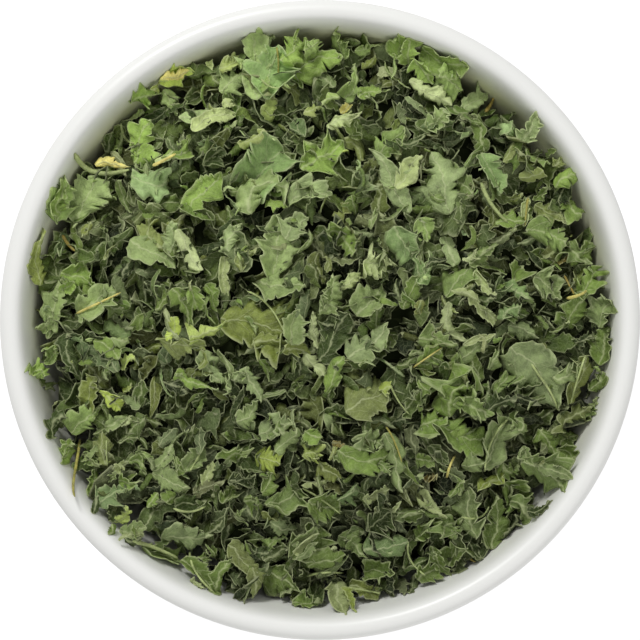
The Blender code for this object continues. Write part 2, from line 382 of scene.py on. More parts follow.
def dried_leaf():
    """Dry leaf blade: side veins and a fine net of veins on its own map, mottling, and a pale torn edge
    that is partly a painted highlight.

    The map's first axis runs along the leaf's rib and its second across it, in millimetres.
    """
    material, shader, add = node_material("dried_leaf", 0.5)
    shader.inputs["Specular IOR Level"].default_value = 0.22
    uv = add("ShaderNodeUVMap", uv_map="leaf_map").outputs["UV"]
    place = add("ShaderNodeTexCoord").outputs["Object"]
    tint = add("ShaderNodeAttribute", attribute_name="tint").outputs["Color"]
    rim = add("ShaderNodeAttribute", attribute_name="rim").outputs["Fac"]
    split = add("ShaderNodeSeparateXYZ", {"Vector": uv})
    along, across = split.outputs["X"], split.outputs["Y"]
    wobble = add("ShaderNodeTexNoise", {"Vector": uv, "Scale": 0.55, "Detail": 2.0})
    shift = worked_out(add, "SUBTRACT", wobble.outputs["Fac"], 0.5)
    away = worked_out(add, "ABSOLUTE", worked_out(add, "MULTIPLY_ADD", shift, 1.6, across))

    def line(distance, width, strength):
        """This strength on a line, falling to 0 at this width."""
        return ranged(add, distance, (0.0, width), (strength, 0.0))

    midrib = line(away, 0.26, 1.0)
    slant = worked_out(add, "MULTIPLY_ADD", away, -0.85, along)
    side_vein = line(worked_out(add, "PINGPONG", slant, 2.6), 0.13, 0.7)
    net = add("ShaderNodeTexVoronoi", {"Vector": uv, "Scale": 1.15}, feature="DISTANCE_TO_EDGE")
    net_vein = line(net.outputs["Distance"], 0.07, 0.25)
    veins = worked_out(add, "MAXIMUM", worked_out(add, "MAXIMUM", midrib, side_vein), net_vein)

    mottle = add("ShaderNodeTexNoise", {"Vector": place, "Scale": 420.0, "Detail": 5.0, "Roughness": 0.66})
    lightness = ranged(add, mottle.outputs["Fac"], (0.3, 0.7), (0.64, 1.40))
    mottled = mixed(add, 1.0, tint, lightness, "MULTIPLY")
    vein_and_edge_colour = mixed(add, 0.7, mottled, VEIN_AND_EDGE_HIGHLIGHT_COLOUR)
    veined = mixed(add, worked_out(add, "MULTIPLY", veins, 0.75), mottled, vein_and_edge_colour)
    # The pale torn edge: partly the dry leaf's own paler margin, partly a painted highlight
    edge_paled_and_highlit = mixed(add, ranged(add, rim, (0.85, 1.0), (0.0, 0.52)), veined, vein_and_edge_colour)
    pucker = add("ShaderNodeTexNoise", {"Vector": uv, "Scale": 1.6, "Detail": 3.0, "Roughness": 0.6})
    height = worked_out(add, "MULTIPLY_ADD", veins, 0.25, pucker.outputs["Fac"])
    bump = add("ShaderNodeBump", {"Height": height, "Strength": 1.0, "Distance": 0.0004})
    link(material, edge_paled_and_highlit, shader.inputs["Base Color"])
    link(material, bump.outputs[0], shader.inputs["Normal"])
    return material


def ragged_side(rng, flakes, along, form):
    """Half width of each flake at each place along its middle line, as a share of the full one.

    It is a few random widths joined by straight lines, less narrow forward-cut notches, plus
    forward-leaning teeth, times a fray of random waves that get smaller as they get finer.
    """
    s = np.linspace(0, 1, along)
    knots = form["knots"]
    widths = rng.uniform(*form["side"], (flakes, knots))
    place = s * (knots - 1)
    low = np.minimum(place.astype(int), knots - 2)
    side = widths[:, low] + (widths[:, low + 1] - widths[:, low]) * (place - low)
    for _ in range(form["notches"]):
        centre = rng.uniform(0.08, 0.95, (flakes, 1))
        width = rng.uniform(0.03, 0.12, (flakes, 1))
        depth = rng.uniform(0, 0.75, (flakes, 1))
        before = (centre - s) / width
        after = (s - centre) / (width * 0.35)
        side = side * (1 - depth * np.clip(1 - np.maximum(before, after), 0, 1))
    for _ in range(form["teeth"]):
        centre = rng.uniform(0.08, 0.95, (flakes, 1))
        width = rng.uniform(0.05, 0.16, (flakes, 1))
        before = (centre - s) / width
        after = (s - centre) / (width * 0.45)
        side = side + rng.uniform(0, 0.6, (flakes, 1)) * np.clip(1 - np.maximum(before, after), 0, 1)
    waves = np.zeros_like(side)
    for m in range(5, along // 2 + 1):
        waves += m**-0.5 * np.sin(m * math.pi * s + rng.uniform(0, TURN, (flakes, 1)))
    return np.maximum(side * (1 + form["fray"] * waves), 0.03)


def leaf_sheets(rng, flakes, along, across, length, width, form):
    """Middle surface of many torn leaf pieces, as arrays flake x along x across.

    Point (s, q) lies a share s along a curved middle line, and q times the ragged half width
    to its side, q going from -1 to 1. The cross section is an arc that opens or closes along
    the piece, folded at the middle line, with margins that roll up or down and ruffles that
    grow towards them. The sections turn about the middle line from end to end, and the whole
    is bent on an arc.
    """
    column = (flakes, 1, 1)
    s = np.linspace(0, 1, along)[None, :, None]
    q = np.linspace(-1, 1, across)[None, None, :]
    length = np.asarray(length).reshape(-1, 1, 1)
    half = np.asarray(width).reshape(-1, 1, 1) / 2

    def draw(low, high):
        return rng.uniform(low, high, column)

    def signed(low, high):
        return draw(low, high) * rng.choice((-1, 1), column)

    taper = np.minimum(1, (1 - s) / draw(0.15, 0.85)) ** draw(0.75, 1.1)
    taper = taper * np.minimum(1, draw(0.1, 0.7) + s / draw(0.08, 0.35))
    left = ragged_side(rng, flakes, along, form)[:, :, None]
    right = ragged_side(rng, flakes, along, form)[:, :, None]
    v = q * half * taper * np.where(q < 0, left, right)
    heading = signed(*form["curve"]) * (s - 0.5) + 0.25 * np.sin(s * TURN + draw(0, TURN))
    step = length / (along - 1)
    mid_x = np.cumsum(np.cos(heading) * step, 1)
    mid_y = np.cumsum(np.sin(heading) * step, 1)
    mid_x, mid_y = (line - line.mean(1, keepdims=True) for line in (mid_x, mid_y))

    curl = (signed(*form["curl"]) + signed(*form["curl"]) * (s - 0.5)) / half
    side_curl = curl * np.where(q < 0, 1, draw(0.3, 1.3))
    side_curl = np.where(np.abs(side_curl) < 1.0, 1.0, side_curl)
    y, z = bent_round(v, 0, side_curl)
    z = z + draw(*form["fold"]) * np.sqrt(v * v + (0.1 * half) ** 2)
    roll = np.where(q < 0, signed(*form["roll"]), signed(*form["roll"]))
    z = z + roll * half * np.clip((np.abs(q) - 0.55) / 0.45, 0, 1) ** 2
    for low, high, share in ((1.5, 3, 0.6), (3.5, 6.5, 0.5)):
        waves = np.sin(draw(low, high) * TURN * s + draw(0, TURN) + np.where(q < 0, draw(0, TURN), 0))
        z = z + share * draw(*form["ruffle"]) * half * waves * np.abs(q) ** 1.8
    for _ in range(3):
        aim, phase, pace = draw(0, TURN), draw(0, TURN), draw(1.0, 2.6) / MM
        wave = np.sin(pace * (s * length * np.cos(aim) + v * np.sin(aim)) + phase)
        z = z + form["crumple"] * draw(0.3, 1) * MM * wave
    for _ in range(2):
        aim, phase, pace = draw(0, TURN), draw(0, TURN), draw(2.8, 4.4) / MM
        wave = np.sin(pace * (s * length * np.cos(aim) + v * np.sin(aim)) + phase)
        z = z + 0.2 * form["crumple"] * draw(0.3, 1) * MM * wave
    turned = signed(*form["twist"]) * (s - 0.5)
    y, z = y * np.cos(turned) - z * np.sin(turned), y * np.sin(turned) + z * np.cos(turned)
    lean = form["slant"] * np.abs(v)
    x = mid_x - y * np.sin(heading) + lean * np.cos(heading)
    y = mid_y + y * np.cos(heading) + lean * np.sin(heading)
    x, z = bent_round(x, z, signed(*form["bend"]) / length)
    y, z = bent_round(y, z, signed(*form["cross_bend"]) / length)
    near_end = np.minimum(s, 1 - s) * length / (0.35 * half)
    rim = np.maximum(np.abs(q), 1 - np.minimum(near_end, 1))
    return {
        "points": np.stack([x, y, z], -1),
        "map": np.stack([np.broadcast_to(s * length, v.shape), v], -1) / MM,
        "rim": np.broadcast_to(rim, v.shape),
    }


def bent_round(s, z, bend):
    """A strip bent on an arc: at distance s along it the arc has turned by s times bend."""
    turned = s * bend
    return np.sin(turned) / bend - z * np.sin(turned), (1 - np.cos(turned)) / bend + z * np.cos(turned)


def rotation(yaw, tilt, facing, flip):
    """Turn in the plane by yaw, turn over if flip is -1, then lean by tilt towards facing."""
    c, s = math.cos(yaw), math.sin(yaw)
    spin = np.array(((c, -s, 0), (s * flip, c * flip, 0), (0, 0, flip)))
    axis = np.array((-math.sin(facing), math.cos(facing), 0))
    cross = np.array(((0, -axis[2], axis[1]), (axis[2], 0, -axis[0]), (-axis[1], axis[0], 0)))
    lean = np.eye(3) + math.sin(tilt) * cross + (1 - math.cos(tilt)) * cross @ cross
    return lean @ spin


class Pile:
    """A height map of the heap, on which flakes are dropped one by one."""

    def __init__(self):
        self.cell = 2 * BOWL_RADIUS / PILE_CELLS
        middle = (np.arange(PILE_CELLS) + 0.5) * self.cell - BOWL_RADIUS
        radius = np.hypot(*np.meshgrid(middle, middle, indexing="ij"))
        self.heights = np.maximum(dome_height(radius) - CORE_SINK, glaze_height(radius))

    def cells(self, x, y):
        i = np.clip(((x + BOWL_RADIUS) / self.cell).astype(int), 0, PILE_CELLS - 1)
        j = np.clip(((y + BOWL_RADIUS) / self.cell).astype(int), 0, PILE_CELLS - 1)
        return i, j

    def slope_at(self, x, y, reach):
        """Slope of the pile round a place, from the heights a flake's reach away."""
        here = np.array((x + reach, x - reach, x, x)), np.array((y, y, y + reach, y - reach))
        right, left, far, near = self.heights[self.cells(*here)]
        return (right - left) / (2 * reach), (far - near) / (2 * reach)

    def drop(self, points, x, y, press, wall_press):
        """The points of a flake, moved down at this place until most of them lie on the pile.

        The share of its points that press leaves may sink in. A flake that would cut deep
        into the bowl's wall is moved towards the axis first. What still cuts it is pulled
        back by a share of what is over, and the rest bends up to lie on the glaze.
        """
        for _ in range(3):
            placed = points + (x, y, 0)
            i, j = self.cells(placed[..., 0], placed[..., 1])
            rest = np.percentile(self.heights[i, j] - placed[..., 2], press)
            placed[..., 2] += rest
            radius = np.hypot(placed[..., 0], placed[..., 1])
            over = (radius - wall_radius(placed[..., 2], WALL_GAP)).max() - wall_press
            if over <= 0:
                break
            away = math.hypot(x, y)
            x, y = x * (1 - over / away), y * (1 - over / away)
        over = np.maximum(radius - wall_radius(placed[..., 2], WALL_GAP), 0)
        placed[..., :2] *= (1 - WALL_PULL * over / np.maximum(radius, 1 * MM))[..., None]
        placed[..., 2] = np.maximum(placed[..., 2], glaze_height(radius - WALL_PULL * over))
        np.maximum.at(self.heights, (i, j), placed[..., 2] + FLAKE_THICKNESS)
        return placed


def strew(rng, pile, sheets, places, leans):
    """Drops each flake at its place, turned at random and leaning by up to its lean off the slope."""
    for points, (x, y), lean in zip(sheets["points"], places, leans):
        yaw, facing, flip = rng.uniform(0, TURN), rng.uniform(0, TURN), rng.choice((-1, 1))
        rise_x, rise_y = pile.slope_at(x, y, LOOSE_REACH)
        rise_x = LOOSE_SLOPE * rise_x - math.tan(lean) * math.cos(facing)
        rise_y = LOOSE_SLOPE * rise_y - math.tan(lean) * math.sin(facing)
        tilt = min(math.atan(math.hypot(rise_x, rise_y)), LOOSE_STEEPEST)
        matrix = rotation(yaw, tilt, math.atan2(-rise_y, -rise_x), flip)
        points[...] = pile.drop(points @ matrix.T, x, y, LOOSE_PRESS, WALL_PRESS)


def sunflower(count, reach, start=0):
    """Places spread evenly over a disc: the golden angle between one and the next."""
    number = np.arange(count) + 0.5
    radius = reach * np.sqrt(number / count)
    angle = number * math.radians(137.508) + start
    return np.stack([radius * np.cos(angle), radius * np.sin(angle)], -1)


def in_bays(places):
    """The places drawn in towards the axis where the heap's edge has a bay, most near the edge."""
    angle = np.arctan2(places[:, 1], places[:, 0])
    share = np.hypot(*places.T) / BOWL_RADIUS
    drawn_in = np.zeros(len(places))
    for direction, half_width, depth in EDGE_BAYS:
        off = np.abs((angle - direction + math.pi) % TURN - math.pi)
        drawn_in += depth * np.clip(1 - (off / half_width) ** 2, 0, 1)
    return places * (1 - drawn_in * share**3 / BOWL_RADIUS)[:, None]


def clear_of_gaps(places):
    """The places moved straight out of each dark gap that they fall in, to its edge."""
    for x, y, radius in GAPS:
        centre = photo_point((x, y))
        away = places - centre
        distance = np.maximum(np.hypot(*away.T), 1e-6)[:, None]
        edge = (radius + GAP_MARGIN) * PIXEL
        places = np.where(distance < edge, centre + away * edge / distance, places)
    return places


def photo_point(pixel):
    """Where a pixel of the photograph is on the heap, seen from straight above."""
    x, y = pixel
    scale = PIXEL * (CAMERA_HEIGHT - HEAP_TOP) / (CAMERA_HEIGHT - BOWL_HEIGHT)
    return np.array((x - PHOTO_CENTRE[0], PHOTO_CENTRE[1] - y)) * scale


def noted_flake(rng, pile, colour, base, tip, width, form):
    """One flake seen in the photograph, its middle line laid from base to tip, as a group of one."""
    start, end = photo_point(base), photo_point(tip)
    length = float(np.hypot(*(end - start)))
    sheet = leaf_sheets(rng, 1, *NOTED_GRID, length, width * PIXEL * NOTED_WIDTH, FORMS[form])
    points = sheet["points"][0]
    centre = NOTED_GRID[1] // 2
    flip = 1 if form in ("cup", "fold") else rng.choice((-1, 1))
    points = points * (1, flip, flip)
    line = points[-1, centre] - points[0, centre]
    points = points - (points[-1, centre] + points[0, centre]) * (0.5, 0.5, 0)
    points = points * min(length / math.hypot(line[0], line[1]), NOTED_STRETCH)
    yaw = math.atan2(end[1] - start[1], end[0] - start[0]) - math.atan2(line[1], line[0])
    x, y = (start + end) / 2
    facing, lean = rng.uniform(0, TURN), rng.uniform(0, NOTED_LEAN)
    rise_x, rise_y = pile.slope_at(x, y, NOTED_REACH * length)
    rise_x = NOTED_SLOPE * rise_x - math.tan(lean) * math.cos(facing)
    rise_y = NOTED_SLOPE * rise_y - math.tan(lean) * math.sin(facing)
    tilt = min(math.atan(math.hypot(rise_x, rise_y)), NOTED_STEEPEST)
    matrix = rotation(yaw, tilt, math.atan2(-rise_y, -rise_x), 1)
    sheet["points"] = pile.drop(points @ matrix.T, x, y, NOTED_PRESS, NOTED_WALL_PRESS)[None]
    # The flake's colour times painted light, brighter towards the back and left
    tint = np.array(LEAF_COLOURS[colour]) * math.exp(rng.normal(0, NOTED_SPREAD)) * painted_light_factor((x, y))
    sheet["tint"] = tint[None]
    sheet["map_shift"] = np.array([(rng.uniform(-MAP_SHIFT, MAP_SHIFT), 0)])
    return sheet


def noted_flakes(rng, pile, rows):
    """The noted flakes of one region, as one group."""
    sheets = []
    for row in rows.split(","):
        colour, *numbers, form = row.split()
        base_x, base_y, tip_x, tip_y, width = map(int, numbers)
        sheets.append(noted_flake(rng, pile, colour, (base_x, base_y), (tip_x, tip_y), width, form))
    return {key: np.concatenate([sheet[key] for sheet in sheets]) for key in sheets[0]}


def stalk(pile, colour, path, radius):
    """A thin tapered stalk laid on the pile, with its ends closed.

    Its middle is the Bezier curve on the path's points, and point (i, j) is a radius away from
    place i of it, at angle j round it.
    """
    control = np.array([photo_point(pixel) for pixel in path])
    t = np.linspace(0, 1, STALK_GRID[0])[:, None]
    last = len(control) - 1
    middle = sum(
        math.comb(last, k) * t**k * (1 - t) ** (last - k) * control[k] for k in range(last + 1)
    )
    below = pile.heights[pile.cells(middle[:, 0], middle[:, 1])]
    level = np.polyval(np.polyfit(t[:, 0], below, 2), t[:, 0])
    level += np.percentile(below - level, 70) + 0.5 * radius * PIXEL
    middle = np.concatenate([middle, level[:, None]], 1)
    forward = np.gradient(middle, axis=0)
    forward /= np.linalg.norm(forward, axis=1, keepdims=True)
    side = np.cross(forward, (0, 0, 1))
    side /= np.linalg.norm(side, axis=1, keepdims=True)
    up = np.cross(side, forward)
    angle = np.arange(STALK_GRID[1]) / STALK_GRID[1] * TURN
    thick = radius * PIXEL * (1 - 0.35 * t) * np.where((t == 0) | (t == 1), 0.4, 1)
    round_it = side[:, None] * np.cos(angle)[:, None] + up[:, None] * np.sin(angle)[:, None]
    points = middle[:, None] + thick[:, None] * round_it
    return points, middle[[0, -1]], np.array(LEAF_COLOURS[colour])


def make_stalks(pile, material):
    """All stalks as one mesh of closed tubes: quads along them and a fan of triangles at each end."""
    rows, around = STALK_GRID
    index = np.arange(rows * around).reshape(rows, around)
    following = np.roll(index, -1, 1)
    tube = np.stack([index[:-1], following[:-1], following[1:], index[1:]], -1).reshape(-1, 4)
    near = np.stack([np.full(around, rows * around), following[0], index[0]], -1)
    far = np.stack([np.full(around, rows * around + 1), index[-1], following[-1]], -1)
    each = rows * around + 2
    points, tints = [], []
    for row in STALKS.split(","):
        colour, radius, *path = row.split()
        skin, ends, tint = stalk(pile, colour, np.array(path, float).reshape(-1, 2), float(radius))
        points += [skin.reshape(-1, 3), ends]
        tints.append(np.broadcast_to((*tint, 1), (each, 4)))
    first = np.arange(len(tints))[:, None, None] * each
    points = np.concatenate(points)
    obj = new_mesh_object(
        "stalks",
        points,
        (np.concatenate([near, far]) + first).reshape(-1, 3),
        (tube + first).reshape(-1, 4),
        (("tint", "FLOAT_COLOR", np.concatenate(tints)), ("rim", "FLOAT", np.zeros(len(points)))),
        points[:, :2] / MM + 8,
    )
    obj.data.materials.append(material)
    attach(obj, "root")
    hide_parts("kale_heap")


def sheet_faces(along, across):
    """Quads of one thin closed leaf: its upper grid, its under grid turned over, and its edge."""
    index = np.arange(along * across).reshape(along, across)
    each = along * across
    upper = np.stack([index[:-1, :-1], index[1:, :-1], index[1:, 1:], index[:-1, 1:]], -1).reshape(-1, 4)
    loop = np.concatenate([index[:, 0], index[-1, 1:], index[-2::-1, -1], index[0, -2:0:-1]])
    following = np.roll(loop, -1)
    edge = np.stack([following, loop, loop + each, following + each], -1)
    return np.concatenate([upper, upper[:, ::-1] + each, edge])


def thick_leaves(name, groups, material):
    """Closed thin leaves in one mesh: each middle surface moved out both ways along its normals.

    The normal is the cross product of the steps along the leaf and across it.
    """
    points, quads, tints, rims, maps = [], [], [], [], []
    offset = 0
    for sheets in groups:
        middle = sheets["points"]
        flakes, along, across = middle.shape[:3]
        normal = np.cross(np.gradient(middle, axis=1), np.gradient(middle, axis=2))
        normal /= np.maximum(np.linalg.norm(normal, axis=-1, keepdims=True), 1e-12)
        shift = normal * FLAKE_THICKNESS / 2
        points.append(np.stack([middle + shift, middle - shift], 1).reshape(-1, 3))
        each = along * across
        first = offset + np.arange(flakes)[:, None, None] * 2 * each
        quads.append((sheet_faces(along, across) + first).reshape(-1, 4))
        sides = np.stack([sheets["tint"], under_colour(sheets["tint"])], 1)
        tints.append(np.repeat(sides, each, 1).reshape(-1, 3))
        rims.append(np.stack([sheets["rim"], sheets["rim"]], 1).reshape(-1))
        flat = sheets["map"] + sheets["map_shift"][:, None, None]
        maps.append(np.stack([flat, flat], 1).reshape(-1, 2))
        offset += flakes * 2 * each
    tints = np.concatenate(tints)
    tints = np.concatenate([tints, np.ones((len(tints), 1))], 1)
    obj = new_mesh_object(
        name,
        np.concatenate(points),
        np.zeros((0, 3), int),
        np.concatenate(quads),
        (("tint", "FLOAT_COLOR", tints), ("rim", "FLOAT", np.concatenate(rims))),
        np.concatenate(maps),
    )
    obj.data.materials.append(material)
    return obj


def under_colour(tint):
    """A kale leaf's underside: a little paler and greyer than its upper side."""
    grey = tint.mean(-1, keepdims=True)
    return 0.8 * (tint * 1.1) + 0.2 * (grey * np.array((1.15, 1.3, 0.85)))


def leaf_tints(rng, flakes):
    """A colour for each flake: one of the common ones, a little lighter, darker, warmer or cooler."""
    palette = np.array([LEAF_COLOURS[key] for key in COLOUR_SHARES])
    shares = np.array(list(COLOUR_SHARES.values())) / sum(COLOUR_SHARES.values())
    tint = palette[rng.choice(len(palette), flakes, p=shares)]
    tint = tint * np.exp(rng.normal(0, COLOUR_SPREAD, (flakes, 1)))
    return tint * np.exp(rng.normal(0, 0.025, (flakes, 3)))


def painted_light_factor(places):
    """How much painted light brightens the leaf at each place: more towards the back and the left, where
    the key lamp is.
    """
    return np.exp(np.asarray(places) @ PAINTED_LIGHT_SLOPE / BOWL_RADIUS)


# Ranges for each kind of flake: its widths, its curve, curl, twist and bends in radians, and
# its ruffles as a share of its half width
FORMS = {
    "flat": dict(
        knots=4, side=(0.4, 0.95), notches=4, teeth=3, fray=0.04, curve=(0.0, 0.4), curl=(0.1, 0.55),
        fold=(-0.15, 0.2), roll=(0.05, 0.5), ruffle=(0.06, 0.24), crumple=0.15, twist=(0.05, 0.4),
        slant=0.4, bend=(0.1, 0.7), cross_bend=(0.05, 0.4),
    ),
    "cup": dict(
        knots=4, side=(0.55, 0.95), notches=3, teeth=2, fray=0.035, curve=(0.1, 0.7), curl=(0.8, 1.4),
        fold=(0.0, 0.25), roll=(0.0, 0.35), ruffle=(0.05, 0.22), crumple=0.14, twist=(0.05, 0.4),
        slant=0.35, bend=(0.4, 1.2), cross_bend=(0.1, 0.6),
    ),
    "fold": dict(
        knots=4, side=(0.6, 0.95), notches=3, teeth=2, fray=0.04, curve=(0.0, 0.5), curl=(0.1, 0.5),
        fold=(0.5, 0.95), roll=(0.0, 0.35), ruffle=(0.05, 0.24), crumple=0.14, twist=(0.05, 0.5),
        slant=0.4, bend=(0.2, 0.8), cross_bend=(0.05, 0.4),
    ),
    "long": dict(
        knots=4, side=(0.6, 1.0), notches=2, teeth=1, fray=0.05, curve=(0.2, 0.9), curl=(0.3, 1.2),
        fold=(-0.4, 0.5), roll=(0.0, 0.3), ruffle=(0.03, 0.15), crumple=0.06, twist=(0.1, 0.8),
        slant=0.3, bend=(0.2, 0.9), cross_bend=(0.05, 0.4),
    ),
    "broad": dict(
        knots=5, side=(0.4, 0.95), notches=4, teeth=2, fray=0.06, curve=(0.1, 0.9), curl=(0.2, 0.9),
        fold=(-0.3, 0.3), roll=(0.05, 0.4), ruffle=(0.05, 0.25), crumple=0.12, twist=(0.1, 0.7),
        slant=0.45, bend=(0.3, 1.4), cross_bend=(0.1, 0.8),
    ),
    "curl": dict(
        knots=5, side=(0.3, 1.0), notches=4, teeth=2, fray=0.05, curve=(0.3, 1.6), curl=(0.7, 1.9),
        fold=(-0.5, 0.5), roll=(0.0, 0.4), ruffle=(0.1, 0.4), crumple=0.12, twist=(0.3, 1.4), slant=0.6,
        bend=(0.5, 2.2), cross_bend=(0.2, 1.2),
    ),
    "frill": dict(
        knots=5, side=(0.4, 1.0), notches=5, teeth=3, fray=0.09, curve=(0.6, 2.4), curl=(0.5, 1.6),
        fold=(-0.4, 0.4), roll=(0.0, 0.4), ruffle=(0.4, 0.9), crumple=0.2, twist=(0.3, 1.6), slant=0.3,
        bend=(0.6, 2.4), cross_bend=(0.2, 1.4),
    ),
    "sliver": dict(
        knots=4, side=(0.35, 1.0), notches=2, teeth=1, fray=0.08, curve=(0.2, 1.8), curl=(0.6, 2.0),
        fold=(-0.5, 0.5), roll=(0.0, 0.3), ruffle=(0.05, 0.3), crumple=0.06, twist=(0.3, 2.0), slant=0.4,
        bend=(0.4, 2.0), cross_bend=(0.1, 0.8),
    ),
}


